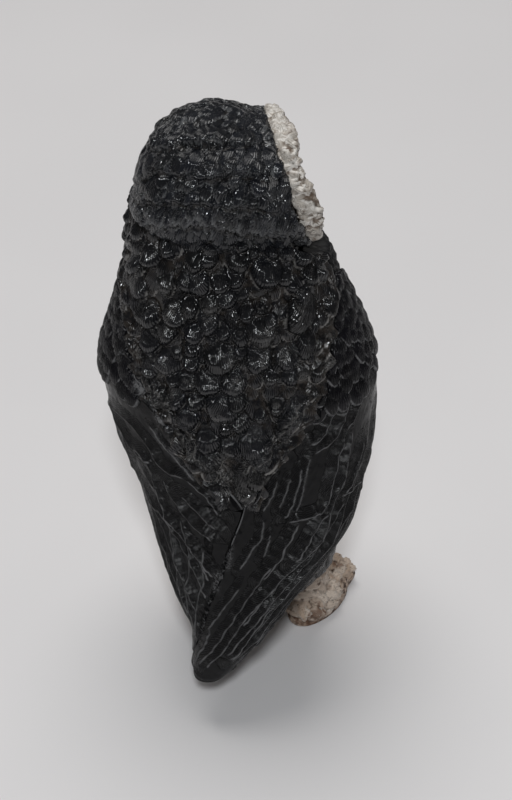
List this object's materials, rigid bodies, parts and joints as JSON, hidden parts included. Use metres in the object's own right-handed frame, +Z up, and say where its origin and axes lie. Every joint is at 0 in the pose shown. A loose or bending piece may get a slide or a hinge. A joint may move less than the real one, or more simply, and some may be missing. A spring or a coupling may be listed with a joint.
{
  "type": "owl figurine",
  "caption": "Standing moulded owl figurine with folded wings, head turned to its right, pale facial disc, feathered feet and a downswept tail.",
  "frame": {"origin": "middle of the bounding box in X and Y, on the plane of the soles", "axes": "+Z up, the owl's breast faces -Y and its tail +Y, the owl's left is +X"},
  "size_m": [0.044, 0.049, 0.1016],
  "materials": {
    "black_plumage": "semi-matt black paint, grey dry-brushing on the feather edges",
    "pale_plumage": "matt off-white paint with a brown wash",
    "face_paint": "matt off-white paint, mottled brown",
    "foot_paint": "matt off-white paint with a brown wash",
    "horn": "satin horn brown",
    "eye_gloss": "high-gloss black"
  },
  "bodies": {
    "root": {"back_shell": "black_plumage", "breast_shell": "pale_plumage", "left_wing": "black_plumage", "right_wing": "black_plumage", "tail": "black_plumage", "head_hood": "black_plumage", "face_disc": "face_paint", "beak": "horn", "left_eye": "eye_gloss", "right_eye": "eye_gloss", "left_foot": "foot_paint", "right_foot": "foot_paint"}
  },
  "joints": []
}
